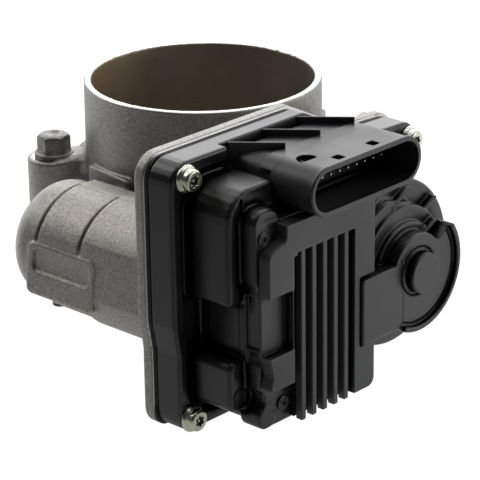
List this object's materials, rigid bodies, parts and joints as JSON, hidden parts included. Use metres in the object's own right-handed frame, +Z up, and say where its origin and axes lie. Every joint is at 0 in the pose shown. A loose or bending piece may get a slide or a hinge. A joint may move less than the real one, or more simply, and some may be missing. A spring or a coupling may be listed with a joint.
{
  "type": "electronic throttle body",
  "caption": "Cast aluminium throttle body: round inlet collar with a butterfly on a cross shaft, motor housing at the side, black gear and control cover with a finned panel and oval socket.",
  "frame": {"origin": "on the bore axis, in the plane of the manifold face", "axes": "+Z up the bore towards the inlet collar, +X along the throttle shaft towards the gear cover, -Y towards the motor"},
  "size_m": [0.154, 0.129, 0.09],
  "materials": {
    "cast_aluminium": "sand cast, warm grey, fine grain",
    "black_plastic": "moulded glass-filled plastic, satin",
    "grey_black_plastic": "moulded plastic, matt charcoal",
    "tinned_pin": "tin plated contact",
    "black_rubber": "moulded seal rubber",
    "zinc_steel": "bright zinc plated",
    "dull_steel": "dull phosphated",
    "brass": "turned, satin",
    "ground_steel": "ground",
    "spring_steel": "oiled spring wire",
    "natural_plastic": "natural nylon, glass filled",
    "magnet": "sintered ferrite",
    "board_green": "circuit board lacquer",
    "chip_black": "moulded chip package"
  },
  "bodies": {
    "housing": {"throttle_housing": "cast_aluminium", "gear_cover": "black_plastic", "module_plate": "grey_black_plastic", "connector_shell": "black_plastic", "connector_pins": "tinned_pin", "cover_gasket": "black_rubber", "cover_screws": "zinc_steel", "manifold_bolts": "dull_steel", "ball_bearing": "ground_steel", "needle_bearing": "ground_steel", "shaft_seals": "black_rubber", "shaft_end_plug": "zinc_steel", "return_spring": "spring_steel", "spring_bush": "natural_plastic", "idler_pin": "ground_steel", "motor_can": "zinc_steel", "motor_magnets": "magnet", "motor_end_plate": "zinc_steel", "motor_terminals": "tinned_pin", "motor_screws": "zinc_steel", "wave_washer": "spring_steel", "control_board": "board_green", "board_chips": "chip_black", "heat_stakes": "black_plastic", "dowels": "ground_steel"},
    "throttle": {"throttle_plate": "brass", "throttle_shaft": "ground_steel", "plate_screws": "zinc_steel", "retaining_ring": "spring_steel", "sector_gear": "natural_plastic", "sensor_rotor": "natural_plastic"},
    "idler": {"idler_gear": "natural_plastic"},
    "rotor": {"motor_armature": "ground_steel", "motor_pinion": "brass"}
  },
  "joints": [
    {"name": "throttle_turn", "type": "hinge", "parent": "housing", "child": "throttle", "pos_m": [0, 0, 0.026], "axis": [1, 0, 0], "range_deg": [-7, 76], "stiffness_Nm_per_rad": 0.4},
    {"name": "idler_turn", "type": "hinge", "parent": "housing", "child": "idler", "pos_m": [0.066, -0.03396, 0.02349], "axis": [1, 0, 0], "range_deg": [-248, 24]},
    {"name": "rotor_turn", "type": "hinge", "parent": "housing", "child": "rotor", "pos_m": [0, -0.0585, 0.0285], "axis": [1, 0, 0], "range_deg": [-73, 783]}
  ],
  "couplings": [
    {"joint": "idler_turn", "follows": "throttle_turn", "ratio": -3.25},
    {"joint": "rotor_turn", "follows": "throttle_turn", "ratio": 10.292}
  ]
}
